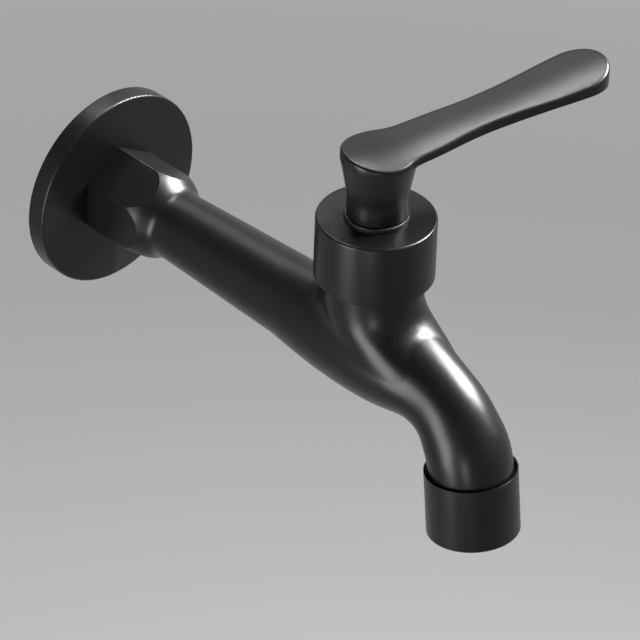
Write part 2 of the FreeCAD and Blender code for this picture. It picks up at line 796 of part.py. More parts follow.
def make_bonnet_cap():
    """Turned cover over the headwork, screwed down on the body's collar."""
    thread = at.collar_radius + at.thread_gap
    cavity = at.cap_radius - at.cap_wall
    step = collar_top - 0.2
    hole = at.stem_housing_radius + at.fit_gap + at.ring_wall + at.fit_gap
    body = turned("bonnet_cap", [
        (thread, at.cap_bottom),
        (at.cap_radius, at.cap_bottom),
        (at.cap_radius, cap_top),
        (hole, cap_top),
        (hole, cap_top - at.cap_roof),
        (cavity, cap_top - at.cap_roof),
        (cavity, step),
        (thread, step)])
    soften(body, "Fillet", at.cap_edge_round, rim(at.cap_radius, cap_top))
    soften(body, "Chamfer", 0.3, rim(at.cap_radius, at.cap_bottom))
    return on_valve_axis(body)


def make_guide_ring():
    """Plastic ring in the cap's hole: it centres the headwork and carries the handle's hub."""
    inner = at.stem_housing_radius + at.fit_gap
    spigot = inner + at.ring_wall
    body = turned("guide_ring", [
        (inner, cap_top - at.ring_spigot),
        (spigot, cap_top - at.ring_spigot),
        (spigot, cap_top),
        (at.ring_radius, cap_top),
        (at.ring_radius, ring_top),
        (inner, ring_top)])
    soften(body, "Fillet", 0.5, rim(at.ring_radius, ring_top))
    return on_valve_axis(body)


def make_headwork_washer():
    """Flat fibre ring under the headwork's hexagon."""
    hole = at.inlet_thread_radius + at.fit_gap
    body = turned("headwork_washer", [
        (hole, collar_top), (at.washer_radius, collar_top), (at.washer_radius, hex_bottom), (hole, hex_bottom)])
    return on_valve_axis(body)


def make_headwork_body():
    """Brass housing of the valve: stem bearing, hexagon, thread and a windowed skirt."""
    thread = at.inlet_thread_radius - at.thread_gap
    body = turned("headwork_body", [
        (bearing_radius, at.stem_housing_top),
        (at.stem_housing_radius, at.stem_housing_top),
        (at.stem_housing_radius, hex_top - 1),
        (at.stem_housing_radius + 2, hex_top - 1),
        (at.stem_housing_radius + 2, hex_bottom),
        (thread, hex_bottom),
        (thread, thread_bottom),
        (at.skirt_radius, thread_bottom - 0.8),
        (at.skirt_radius, at.skirt_bottom),
        (at.skirt_bore_radius, at.skirt_bottom),
        (at.skirt_bore_radius, at.thrust_shoulder),
        (bearing_radius, at.thrust_shoulder)])
    nut = new_sketch(body, "headwork_hexagon", "XY_Plane", hex_bottom)
    draw_outline(nut, polygon(6, at.headwork_hex))
    draw_circle(nut, at.stem_housing_radius - 0.5)
    pad(body, "headwork_nut", nut, at.headwork_hex_height)
    window = new_sketch(body, "windows", "XZ_Plane")
    draw_outline(window, rectangle(-at.window_width / 2, at.window_width / 2, at.window_bottom, at.window_top))
    pocket(body, "window_cut", window, 4 * at.skirt_radius, both_ways=True)
    ribs = new_sketch(body, "stop_ribs", "XY_Plane", drive_level)
    for centre in (0, 180):
        draw_outline(ribs, sector(at.stop_rib_radius, at.skirt_bore_radius + 0.4, centre, at.stop_rib_angle))
    pad(body, "stop_rib_pad", ribs, at.window_top - drive_level)
    notch = new_sketch(body, "tab_slots", "YZ_Plane")
    half = at.disc_tab_width / 2 + at.fit_gap
    draw_outline(notch, rectangle(-half, half, at.skirt_bottom - 1, fixed_disc_top))
    pocket(body, "tab_slot_cut", notch, 4 * at.skirt_radius, both_ways=True)
    return on_valve_axis(body)


def make_thrust_washer():
    """Low-friction ring between the spindle's flange and the headwork's inner shoulder."""
    hole = bearing_radius
    edge = at.stop_rib_radius - 0.1
    body = turned("thrust_washer", [
        (hole, thrust_level), (edge, thrust_level), (edge, at.thrust_shoulder), (hole, at.thrust_shoulder)])
    return on_valve_axis(body)


def make_spindle():
    """Splined brass spindle with two seal grooves, a clip groove, stops and a drive tongue."""
    groove = at.spindle_radius - at.o_ring_thickness + at.fit_gap
    half = at.o_ring_groove_width / 2
    clip_top = clip_bottom + at.clip_thickness + at.fit_gap
    flange_top = thrust_level - at.disc_film
    profile = [
        (0, drive_level),
        (at.spindle_flange_radius, drive_level),
        (at.spindle_flange_radius, flange_top),
        (at.spindle_radius, flange_top)]
    for level in (at.lower_o_ring_level, at.upper_o_ring_level):
        profile += [
            (at.spindle_radius, level - half), (groove, level - half),
            (groove, level + half), (at.spindle_radius, level + half)]
    clip_groove = at.spindle_radius - at.clip_groove_depth
    profile += [
        (at.spindle_radius, clip_bottom), (clip_groove, clip_bottom),
        (clip_groove, clip_top), (at.spline_radius, clip_top + 0.3),
        (at.spline_radius, at.spline_top - 0.4), (at.spline_radius - 0.4, at.spline_top),
        (0, at.spline_top)]
    body = turned("spindle", profile)

    tooth = new_sketch(body, "spline_gap", "XY_Plane", at.spline_top)
    gap_angle = 360 / at.spline_teeth
    root = at.spline_radius - at.spline_depth
    outer = at.spline_radius + 0.2
    draw_outline(tooth, [
        (root, 0),
        (outer * cosine(gap_angle / 2), -outer * sine(gap_angle / 2)),
        (outer * cosine(gap_angle / 2), outer * sine(gap_angle / 2))])
    gap = pocket(body, "spline_gap_cut", tooth, at.spline_top - clip_top - 0.4)
    repeat_round(body, "splines_round", gap, at.spline_teeth)

    # the stops turn between two ribs of the headwork and end the travel against them
    stops = new_sketch(body, "stops", "XY_Plane", drive_level, at.closed_turn - 45)
    for centre in (90, 270):
        draw_outline(stops, sector(at.spindle_radius, at.stop_radius, centre, at.stop_angle))
    pad(body, "stop_arms", stops, at.window_top - drive_level)
    tongue = new_sketch(body, "tongue", "XY_Plane", drive_level, -at.lever_heading)
    half_tongue = at.drive_slot_width / 2 - at.fit_gap
    draw_outline(tongue, rectangle(-at.spindle_flange_radius + 0.4, at.spindle_flange_radius - 0.4,
                                   -half_tongue, half_tongue))
    tongue_pad = pad(body, "drive_tongue", tongue, at.drive_slot_depth - at.fit_gap * 2 + at.drive_gap)
    tongue_pad.Reversed = True
    return on_valve_axis(body)


def make_spindle_o_rings():
    """Two rubber rings in the spindle's grooves."""
    section = at.o_ring_thickness / 2 - at.fit_gap / 2
    centre = at.spindle_radius - at.o_ring_thickness / 2 + at.fit_gap
    rings = []
    for name, level in (("lower", at.lower_o_ring_level), ("upper", at.upper_o_ring_level)):
        ring = doc.addObject("Part::Torus", name + "_o_ring")
        bind(ring, "Radius1", centre)
        bind(ring, "Radius2", section)
        rings.append(place(ring, 0.0, -at.cap_axis_reach, level))
    both = doc.addObject("Part::Compound", "spindle_o_rings")
    both.Links = rings
    both.Label = "spindle_o_rings"
    return both


def make_retaining_clip():
    """Spring clip snapped into the spindle above the headwork."""
    body = new_body("retaining_clip")
    ring = new_sketch(body, "clip_outline", "XY_Plane", clip_bottom)
    draw_circle(ring, at.clip_radius)
    draw_circle(ring, at.spindle_radius - at.clip_groove_depth + at.fit_gap)
    pad(body, "clip_blank", ring, at.clip_thickness)
    mouth = new_sketch(body, "clip_mouth_outline", "XY_Plane", clip_bottom)
    draw_outline(mouth, rectangle(0, at.clip_radius + 1, -at.clip_mouth / 2, at.clip_mouth / 2))
    pocket(body, "clip_mouth_cut", mouth, at.clip_thickness, reverse=True)
    return on_valve_axis(body, 100)


def make_fixed_disc():
    """Lower ceramic disc with two ports, kept from turning by its tabs."""
    body = new_body("fixed_disc")
    blank = new_sketch(body, "fixed_disc_outline", "XY_Plane", at.fixed_disc_bottom)
    draw_circle(blank, at.disc_radius)
    pad(body, "fixed_disc_blank", blank, at.disc_thickness)
    tabs = new_sketch(body, "fixed_disc_tabs", "XY_Plane", at.fixed_disc_bottom)
    draw_outline(tabs, rectangle(-at.disc_tab_reach, at.disc_tab_reach,
                                 -at.disc_tab_width / 2, at.disc_tab_width / 2))
    pad(body, "fixed_disc_tab_pad", tabs, at.disc_thickness)
    ports = new_sketch(body, "fixed_disc_ports", "XY_Plane", at.fixed_disc_bottom)
    for centre in (90, 270):
        draw_outline(ports, sector(at.port_inner_radius, at.port_outer_radius, centre, at.port_angle))
    pocket(body, "fixed_disc_port_cut", ports, at.disc_thickness, reverse=True)
    return on_valve_axis(body)


def make_moving_disc():
    """Upper ceramic disc: it turns with the spindle and opens or covers the ports below it."""
    body = new_body("moving_disc")
    blank = new_sketch(body, "moving_disc_outline", "XY_Plane", moving_disc_bottom)
    draw_circle(blank, at.disc_radius)
    pad(body, "moving_disc_blank", blank, at.disc_thickness)
    ports = new_sketch(body, "moving_disc_ports", "XY_Plane", moving_disc_bottom, -at.lever_heading)
    for centre in (90, 270):
        draw_outline(ports, sector(at.port_inner_radius, at.disc_radius + 2, centre, at.port_angle))
    pocket(body, "moving_disc_port_cut", ports, at.disc_thickness, reverse=True)
    slot = new_sketch(body, "drive_slot", "XY_Plane", moving_disc_top, -at.lever_heading)
    draw_outline(slot, rectangle(-at.disc_radius - 1, at.disc_radius + 1,
                                 -at.drive_slot_width / 2, at.drive_slot_width / 2))
    pocket(body, "drive_slot_cut", slot, at.drive_slot_depth)
    return on_valve_axis(body)


def make_seat_seal():
    """Rubber sleeve that presses the discs together and seals on the seat."""
    outer = at.disc_radius
    body = turned("seat_seal", [
        (at.seat_seal_hole, at.seat_level),
        (outer, at.seat_level),
        (outer, at.fixed_disc_bottom),
        (at.seat_seal_hole, at.fixed_disc_bottom)])
    return on_valve_axis(body)


def make_seal_ring():
    """Plastic ring that keeps the rubber sleeve round from inside."""
    outer = at.seat_seal_hole - at.disc_film
    inner = outer - at.seal_ring_wall
    low = at.seat_level + 0.8
    high = at.fixed_disc_bottom - 0.3
    body = turned("seal_support_ring", [(inner, low), (outer, low), (outer, high), (inner, high)])
    return on_valve_axis(body)


def lever_plan():
    """Outline of the lever from above: round root, slim waist and a broad round tip."""
    root = at.hub_top_radius.number
    tip_reach = at.lever_tip_reach.number
    tip = at.lever_tip_radius.number
    waist_reach = at.lever_waist_reach.number
    waist = at.lever_waist_width.number / 2
    leave = math.radians(64)
    start = Vector(root * math.cos(leave), root * math.sin(leave), 0)
    neck = Vector(waist_reach * 0.52, waist * 1.16, 0)
    middle = Vector((waist_reach + tip_reach) / 2, waist + (tip - waist) * 0.3, 0)
    points = [start, neck, Vector(waist_reach, waist, 0), middle, Vector(tip_reach, tip, 0)]
    sides = []
    for sign in (1, -1):
        side = Part.BSplineCurve()
        side.interpolate(Points=[Vector(p.x, sign * p.y, 0) for p in points],
                         InitialTangent=Vector(math.sin(leave), -sign * math.cos(leave), 0),
                         FinalTangent=Vector(1, 0, 0))
        sides.append(side.toShape())
    below = Vector(start.x, -start.y, 0)
    back = Part.Arc(start, Vector(-root, 0, 0), below).toShape()
    nose = Part.Arc(Vector(tip_reach, tip, 0), Vector(tip_reach + tip, 0, 0), Vector(tip_reach, -tip, 0)).toShape()
    return Part.Face(Part.Wire([back, sides[1], nose, sides[0]]))


def lever_mass(middle, arch):
    """All that lies below a surface over the lever's length, whose sides differ from its middle by an arch."""
    half = at.hub_top_radius.number + 2
    waist = at.lever_waist_reach.number
    tip_end = at.lever_tip_reach.number + at.lever_tip_radius.number
    stations = [-half - 1, -0.22 * waist, 0.0, 0.22 * waist, 0.44 * waist, 0.67 * waist, waist,
                at.lever_tip_reach.number, tip_end + 3]
    wires = []
    for reach in stations:
        centre = middle(reach)
        side = centre + arch(reach)
        arc = Part.Arc(Vector(reach, -half, side), Vector(reach, 0, centre), Vector(reach, half, side)).toShape()
        frame = Part.makePolygon([Vector(reach, half, side), Vector(reach, half, 0), Vector(reach, -half, 0),
                                  Vector(reach, -half, side)])
        wires.append(Part.Wire([arc] + frame.Edges))
    return Part.makeLoft(wires, True, False, False, 3)


def lever_level(reach):
    """Height of the crown's ridge: level over the hub, then rising steadily to the tip."""
    run_in = at.lever_run_in.number
    slope = math.tan(math.radians(at.lever_rise_angle.number))
    level = at.lever_root_level.number
    if reach <= 0:
        return level
    if reach < run_in:
        return level + slope * reach * reach / (2 * run_in)
    return level + slope * (reach - run_in / 2)


def lever_floor(reach):
    """Height of the underside's middle line: level at the hub, then rising less than the top."""
    slope = math.tan(math.radians(at.lever_under_angle.number))
    root = at.lever_root_level.number - at.lever_root_thickness.number
    line = root - at.lever_floor_dip.number + slope * reach
    share = min(max(reach / (0.44 * at.lever_waist_reach.number), 0.0), 1.0)
    hold = (1 + math.cos(math.pi * share)) / 2
    return line + (root - line) * hold


def crown_drop(reach):
    """How far the top's sides lie above its middle: less than nothing, the same all along."""
    return -at.lever_crown.number


def belly_rise(reach):
    """How far the underside's sides lie above its middle: hardly anything at the hub."""
    return at.lever_belly.number * min(max(reach / at.lever_waist_reach.number, 0.03), 1.0)


def spline_bore(depth):
    """Solid with the spindle's toothed outline, grown by the fit, to cut the handle's bore."""
    tip = at.spline_radius.number + at.fit_gap.number * 1.2
    root = at.spline_radius.number - at.spline_depth.number + at.fit_gap.number
    teeth = int(at.spline_teeth.number)
    corners = []
    for tooth in range(teeth):
        for reach, share in ((root, 0.0), (tip, 0.32), (tip, 0.68)):
            angle = 2 * math.pi * (tooth + share) / teeth
            corners.append(Vector(reach * math.cos(angle), reach * math.sin(angle), 0))
    return Part.Face(Part.makePolygon(corners + corners[:1])).extrude(Vector(0, 0, depth))


def make_handle():
    """Cast lever and hub in one piece, splined inside and locked by a screw under the blade."""
    bottom = hub_bottom.number
    straight_top = bottom + at.hub_straight.number
    low_radius = at.hub_radius.number
    high_radius = at.hub_top_radius.number
    flare_top = at.lever_root_level.number - at.lever_crown.number - at.lever_rim.number
    flare = high_radius - low_radius
    rise = flare_top - straight_top
    side = Part.BSplineCurve()
    side.interpolate(Points=[Vector(low_radius, 0, straight_top),
                             Vector(low_radius + flare * 0.27, 0, straight_top + rise * 0.36),
                             Vector(low_radius + flare * 0.6, 0, straight_top + rise * 0.65),
                             Vector(high_radius, 0, flare_top)],
                     InitialTangent=Vector(0, 0, 1), FinalTangent=Vector(flare, 0, rise))
    corners = [Vector(high_radius, 0, flare_top), Vector(0, 0, flare_top), Vector(0, 0, bottom),
               Vector(low_radius, 0, bottom), Vector(low_radius, 0, straight_top)]
    hub_face = Part.Face(Part.Wire([side.toShape()] + Part.makePolygon(corners).Edges))
    hub = hub_face.revolve(Vector(0, 0, 0), Vector(0, 0, 1), 360)

    tip_end = at.lever_tip_reach.number + at.lever_tip_radius.number
    column = lever_plan().extrude(Vector(0, 0, 2 * tip_end))
    below_top = lever_mass(lever_level, crown_drop)
    below_floor = lever_mass(lever_floor, belly_rise)
    blade = column.common(below_top).cut(below_floor)
    lever = hub.fuse(blade)

    corner = [edge for edge in lever.Edges if under_blade(lever, edge)]
    lever = lever.makeFillet(at.lever_underside_blend.number, corner)
    crest = [edge for edge in lever.Edges if on_crest(lever, edge)]
    lever = lever.makeFillet(at.lever_edge_round.number, crest)

    socket = Part.makeCylinder(at.socket_radius.number, at.socket_depth.number + 1, Vector(0, 0, bottom - 1))
    bore = spline_bore(at.spline_top.number + 0.5 - bottom)
    bore.rotate(Vector(0, 0, 0), Vector(0, 0, 1), at.lever_heading.number)
    bore.translate(Vector(0, 0, bottom))
    level = at.grub_screw_level.number
    screw_way = Part.makeCylinder(at.grub_screw_radius.number + at.thread_gap.number, high_radius,
                                  Vector(0, 0, level), Vector(1, 0, 0))
    plug_way = Part.makeCylinder(at.plug_radius.number, high_radius,
                                 Vector(plug_floor.number, 0, level), Vector(1, 0, 0))
    lever = lever.cut(Part.makeCompound([socket, bore, screw_way, plug_way]))
    handle = doc.addObject("Part::Feature", "handle")
    handle.Shape = lever.removeSplitter()
    handle.Label = "handle"
    return on_valve_axis(handle, -at.lever_heading)


plug_floor = at.hub_radius - at.plug_thickness


def under_blade(shape, edge):
    """Tells the edges where the hub's flare meets the blade's underside, ahead of the hub."""
    faces = shape.ancestorsOfType(edge, Part.Face)
    kinds = sorted(type(face.Surface).__name__ for face in faces)
    ahead = edge.BoundBox.Center.x > 0 and edge.BoundBox.XMax < at.lever_waist_reach.number
    return ahead and kinds == ["BSplineSurface", "SurfaceOfRevolution"]


def on_crest(shape, edge):
    """Tells the long edges round the lever's upper face."""
    box = edge.BoundBox
    level = lever_level(box.Center.x)
    upright = box.ZLength > 2 and box.XLength < 0.1
    return not upright and abs(box.Center.z - level) < 2.0


def make_grub_screw():
    """Short headless screw with a hexagon socket that locks the handle on the spindle."""
    tip = at.spline_radius + 0.1
    body = turned("grub_screw", [
        (0, tip),
        (at.grub_screw_radius - 0.5, tip),
        (at.grub_screw_radius, tip + 0.5),
        (at.grub_screw_radius, tip + at.grub_screw_length),
        (0, tip + at.grub_screw_length)])
    key = new_sketch(body, "key_socket", "XY_Plane", tip + at.grub_screw_length)
    draw_outline(key, polygon(6, at.screw_key))
    pocket(body, "key_socket_cut", key, at.grub_screw_length / 2)
    return lay_under_blade(body)


def make_screw_plug():
    """Small push-in plug over the grub screw, flush with the hub."""
    edge = at.plug_radius - at.thread_gap
    body = turned("screw_plug", [
        (0, plug_floor), (edge, plug_floor), (edge, at.hub_radius - 0.4), (edge - 0.6, at.hub_radius),
        (0, at.hub_radius)])
    return lay_under_blade(body)


def lay_under_blade(body):
    """Lays a piece drawn about Z along the lever's heading, at the level of the locking screw."""
    body.Placement = Placement(Vector(0, 0, 0), Rotation(Vector(0, 1, 0), 90))
    carrier = doc.addObject("Part::Compound", body.Label + "_laid")
    carrier.Links = [body]
    label = body.Label
    body.Label = label + "_drawn"
    carrier.Label = label
    place(carrier, 0.0, -at.cap_axis_reach, at.grub_screw_level, (Vector(0, 0, -1), at.lever_heading))
    return carrier


def make_aerator_housing():
    """Threaded sleeve on the spout's end with a lip that holds the insert."""
    skirt = at.outlet_radius + at.aerator_rim_gap
    thread = at.aerator_thread_radius + at.thread_gap
    shelf = at.aerator_lip - at.aerator_length
    body = turned("aerator_housing", [
        (skirt + at.aerator_rim_chamfer, 0),
        (at.aerator_radius, 0),
        (at.aerator_radius, -at.aerator_length),
        (at.aerator_mouth_radius, -at.aerator_length),
        (at.aerator_mouth_radius, shelf),
        (thread, shelf),
        (thread, -thread_start - 0.4),
        (skirt, -thread_start - 0.4),
        (skirt, -at.aerator_rim_chamfer)])
    soften(body, "Fillet", at.aerator_edge_round, rim(at.aerator_radius, -at.aerator_length))
    return on_outlet(body)


def make_aerator_washer():
    """Rubber ring between the spout's end and the aerator insert."""
    edge = at.cage_radius
    low = cage_top
    body = turned("aerator_washer", [
        (at.outlet_bore_radius, -low), (edge, -low), (edge, -thread_end), (at.outlet_bore_radius, -thread_end)])
    return on_outlet(body)


cage_top = thread_end + at.aerator_washer
cage_bottom = at.aerator_length - at.aerator_lip / 2
strainer_low = cage_top + at.strainer_disc
diffuser_low = strainer_low + at.diffuser_drop + at.diffuser_disc
diffuser_radius = at.cage_bore_radius + at.cage_ledge
strainer_disc_radius = diffuser_radius + at.cage_ledge


def sector_cells(count):
    """Cell centres, in pitches, of one sixth of a honeycomb with that many rings round its centre."""
    cells = []
    for ring in range(1, count + 1):
        for step in range(ring):
            cells.append((ring - step / 2, step * math.sqrt(3) / 2))
    return cells


def make_aerator_cage():
    """Plastic cage of the insert: a stepped tube closed below by a honeycomb grid."""
    shelf = at.aerator_length - at.aerator_lip
    body = turned("aerator_cage", [
        (strainer_disc_radius, -cage_top),
        (at.cage_radius, -cage_top),
        (at.cage_radius, -shelf),
        (at.cage_mouth_radius, -shelf),
        (at.cage_mouth_radius, -cage_bottom),
        (0, -cage_bottom),
        (0, at.grid_thickness - cage_bottom),
        (at.cage_bore_radius, at.grid_thickness - cage_bottom),
        (at.cage_bore_radius, -diffuser_low),
        (diffuser_radius, -diffuser_low),
        (diffuser_radius, -strainer_low),
        (strainer_disc_radius, -strainer_low)])
    cell = at.grid_pitch - at.grid_rib
    middle = new_sketch(body, "grid_middle", "XY_Plane", -cage_bottom)
    draw_outline(middle, polygon(6, cell, first=30.0))
    pocket(body, "grid_middle_cut", middle, at.grid_thickness, reverse=True)
    cells = new_sketch(body, "grid_cells", "XY_Plane", -cage_bottom)
    for x, y in sector_cells(2):
        draw_outline(cells, polygon(6, cell, at.grid_pitch * x, at.grid_pitch * y, 30.0))
    cut = pocket(body, "grid_cell_cut", cells, at.grid_thickness, reverse=True)
    repeat_round(body, "grid_round", cut, 6)
    return on_outlet(body)


def perforated_disc(label, low, thickness, radius, rings):
    """Thin disc on a ledge inside the cage, with rings of small round holes."""
    body = new_body(label)
    blank = new_sketch(body, label + "_outline", "XY_Plane", -low)
    draw_circle(blank, radius - at.fit_gap)
    pad(body, label + "_blank", blank, thickness)
    holes = new_sketch(body, label + "_holes", "XY_Plane", -low)
    pitch = at.cage_bore_radius / (rings + 0.5)
    for x, y in sector_cells(rings):
        draw_circle(holes, at.spray_hole_radius, pitch * x, pitch * y)
    cut = pocket(body, label + "_hole_cut", holes, thickness, reverse=True)
    repeat_round(body, label + "_round", cut, 6)
    return on_outlet(body)


def make_aerator_strainer():
    """Upper disc of the insert, finely perforated, under the washer."""
    return perforated_disc("aerator_strainer", strainer_low, at.strainer_disc, strainer_disc_radius, 2)


def make_aerator_diffuser():
    """Lower disc of the insert, with fewer holes that break the water into jets."""
    return perforated_disc("aerator_diffuser", diffuser_low, at.diffuser_disc, diffuser_radius, 2)


MAKERS = [
    make_tap_body, make_escutcheon, make_wall_seal, make_inlet_strainer,
    make_headwork_washer, make_headwork_body, make_thrust_washer, make_spindle, make_spindle_o_rings,
    make_retaining_clip, make_fixed_disc, make_moving_disc, make_seat_seal, make_seal_ring,
    make_bonnet_cap, make_guide_ring, make_handle, make_grub_screw, make_screw_plug,
    make_aerator_housing, make_aerator_washer, make_aerator_cage, make_aerator_strainer, make_aerator_diffuser,
]

pieces = [make() for make in MAKERS]
doc.recompute()

faults = [f"{thing.Label}: {thing.State}" for thing in doc.Objects
          if "Invalid" in thing.State or "Error" in thing.State]
for piece in pieces:
    if piece.Shape.isNull() or not piece.Shape.isValid() or piece.Shape.Volume <= 0:
        faults.append(f"{piece.Label}: bad shape")
if faults:
    raise RuntimeError("not written: " + "; ".join(faults))

os.makedirs("parts", exist_ok=True)
for piece in pieces:
    piece.Shape.exportStep(os.path.join("parts", piece.Label + ".step"))
    print(f"{piece.Label}: {len(piece.Shape.Solids)} solid(s), {piece.Shape.Volume:.1f} mm3")
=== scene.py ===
import math

import bpy
from mathutils import Matrix, Vector


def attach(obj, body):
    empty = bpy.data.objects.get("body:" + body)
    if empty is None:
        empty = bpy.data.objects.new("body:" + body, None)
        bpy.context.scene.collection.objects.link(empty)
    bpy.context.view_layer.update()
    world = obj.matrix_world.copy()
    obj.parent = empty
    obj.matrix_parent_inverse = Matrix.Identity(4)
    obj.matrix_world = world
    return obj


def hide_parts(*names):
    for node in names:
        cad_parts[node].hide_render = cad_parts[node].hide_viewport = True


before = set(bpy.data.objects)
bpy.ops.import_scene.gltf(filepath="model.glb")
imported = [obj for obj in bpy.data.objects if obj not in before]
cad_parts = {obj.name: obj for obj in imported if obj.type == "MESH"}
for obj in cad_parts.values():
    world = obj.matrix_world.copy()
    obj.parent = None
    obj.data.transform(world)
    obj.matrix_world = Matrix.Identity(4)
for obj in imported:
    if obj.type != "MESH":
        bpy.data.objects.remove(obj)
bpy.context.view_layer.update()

# The studio: a pale floor that turns into a plain pale sweep further off, and a surround that is
# pale near the horizon and dark overhead. The camera stands two metres off, turned a little
# about its own line of sight.

VIEW_AZIMUTH = -45.307
VIEW_ELEVATION = 34.996
VIEW_ROLL = math.radians(2.174)
VIEW_DISTANCE = 2.0
VIEW_TARGET = Vector((0.031305, -0.060004, -0.033187))
HALF_PICTURE, FOCAL_LENGTH = 320, 6804.54  # in picture points
FLOOR_LEVEL = -0.5
FLOOR_WIDTH = 40
SWEEP_START, SWEEP_END = 0.45, 1.05  # metres from the floor's centre
PALE_UP_TO, DARK_FROM = math.radians(18), math.radians(42)
FLOOR_COLOR = (0.18, 0.18, 0.183, 1.0)
PALE = (0.43, 0.43, 0.435, 1.0)
OVERHEAD = (0.1, 0.103, 0.11, 1.0)


def direction(azimuth, elevation):
    """The way from the tap to a lamp or camera: azimuth 0 looks along +Y, 90 comes from +X."""
    a, e = math.radians(azimuth), math.radians(elevation)
    return Vector((math.sin(a) * math.cos(e), -math.cos(a) * math.cos(e), math.sin(e)))


def deselect():
    """Leaves edit mode, with nothing selected."""
    if bpy.context.object and bpy.context.object.mode != "OBJECT":
        bpy.ops.object.mode_set(mode="OBJECT")
    bpy.ops.object.select_all(action="DESELECT")


def take(piece):
    """Makes one object the only one selected, and the active one."""
    deselect()
    piece.select_set(True)
    bpy.context.view_layer.objects.active = piece


back = direction(VIEW_AZIMUTH, VIEW_ELEVATION)
level_right = Vector((0, 0, 1)).cross(back).normalized()
level_up = back.cross(level_right)
right = level_right * math.cos(VIEW_ROLL) + level_up * math.sin(VIEW_ROLL)
up = level_up * math.cos(VIEW_ROLL) - level_right * math.sin(VIEW_ROLL)
deselect()
bpy.ops.object.camera_add()
camera = bpy.context.object
camera.name = "view_camera"
camera.matrix_world = Matrix.Translation(VIEW_TARGET + back * VIEW_DISTANCE) @ Matrix(
    (right, up, back)).transposed().to_4x4()
camera.data.sensor_fit = "AUTO"
camera.data.lens_unit = "FOV"
camera.data.angle = 2 * math.atan(HALF_PICTURE / FOCAL_LENGTH)
camera.data.clip_start = 0.01
camera.data.clip_end = 60
bpy.context.scene.camera = camera
bpy.context.scene.view_settings.view_transform = "Standard"

deselect()
bpy.ops.mesh.primitive_plane_add(size=FLOOR_WIDTH, location=(0, 0, FLOOR_LEVEL))
floor = bpy.context.object
floor.name = "floor"
floor_finish = bpy.data.materials.new("pale_floor")
floor_finish.use_nodes = True
tree = floor_finish.node_tree
near = tree.nodes["Principled BSDF"]
near.inputs["Base Color"].default_value = FLOOR_COLOR
near.inputs["Roughness"].default_value = 0.9
near.inputs["Specular IOR Level"].default_value = 0.1
far = tree.nodes.new("ShaderNodeEmission")
far.inputs["Color"].default_value = PALE
place = tree.nodes.new("ShaderNodeTexCoord")
reach = tree.nodes.new("ShaderNodeVectorMath")
reach.operation = "LENGTH"
fade = tree.nodes.new("ShaderNodeMapRange")
fade.interpolation_type = "SMOOTHSTEP"
fade.inputs["From Min"].default_value = SWEEP_START
fade.inputs["From Max"].default_value = SWEEP_END
sweep = tree.nodes.new("ShaderNodeMixShader")
tree.links.new(place.outputs["Object"], reach.inputs[0])
tree.links.new(reach.outputs["Value"], fade.inputs["Value"])
tree.links.new(fade.outputs["Result"], sweep.inputs[0])
tree.links.new(near.outputs["BSDF"], sweep.inputs[1])
tree.links.new(far.outputs["Emission"], sweep.inputs[2])
tree.links.new(sweep.outputs["Shader"], tree.nodes["Material Output"].inputs["Surface"])
floor.data.materials.append(floor_finish)

world = bpy.data.worlds.new("surround")
bpy.context.scene.world = world
world.use_nodes = True
sky = world.node_tree
light = sky.nodes["Background"]
heading = sky.nodes.new("ShaderNodeTexCoord")
height = sky.nodes.new("ShaderNodeSeparateXYZ")
climb = sky.nodes.new("ShaderNodeMapRange")
climb.interpolation_type = "SMOOTHSTEP"
climb.inputs["From Min"].default_value = math.sin(PALE_UP_TO)
climb.inputs["From Max"].default_value = math.sin(DARK_FROM)
shade = sky.nodes.new("ShaderNodeMix")
shade.data_type = "RGBA"
shade.inputs["A"].default_value = PALE
shade.inputs["B"].default_value = OVERHEAD
sky.links.new(heading.outputs["Generated"], height.inputs["Vector"])
sky.links.new(height.outputs["Z"], climb.inputs["Value"])
sky.links.new(climb.outputs["Result"], shade.inputs["Factor"])
sky.links.new(shade.outputs["Result"], light.inputs["Color"])

# The lamps: a large soft one to the right, a smaller one high behind, a broad faint one below it,
# a tall one on the left that draws the soft bands down the round bodies, and a small faint card
# low in front that lifts the undersides.

LAMP_AIM = Vector((0.0, -0.1, 0.02))
LAMPS = (  # name, azimuth, elevation, distance, width, height, watts, spread
    ("right_softbox", 77, 40, 1.2, 0.7, 0.62, 34.0, 100),
    ("rear_softbox", 144, 62, 1.3, 0.5, 0.34, 5.5, 120),
    ("rear_fill", 152, 32, 1.5, 0.5, 0.4, 0.45, 120),
    ("left_softbox", -93, -4, 1.1, 0.44, 0.9, 6.5, 120),
    ("front_card", -52, -10, 1.1, 0.22, 0.3, 0.8, 120),
)
for name, azimuth, elevation, distance, width, tall, watts, spread in LAMPS:
    towards = direction(azimuth, elevation)
    deselect()
    bpy.ops.object.light_add(type="AREA", location=LAMP_AIM + towards * distance)
    lamp = bpy.context.object
    lamp.name = name
    lamp.rotation_euler = towards.to_track_quat("Z", "Y").to_euler()
    lamp.visible_camera = False
    lamp.data.shape = "RECTANGLE"
    lamp.data.size = width
    lamp.data.size_y = tall
    lamp.data.energy = watts
    lamp.data.spread = math.radians(spread)

# The tap body: one brass casting with the inlet thread, hexagon, pipe, valve chamber and spout,
# coated satin black. The valve chamber, the waterway and the threads for inlet, headwork, cap
# and aerator are cut after the coating and stay bare brass.

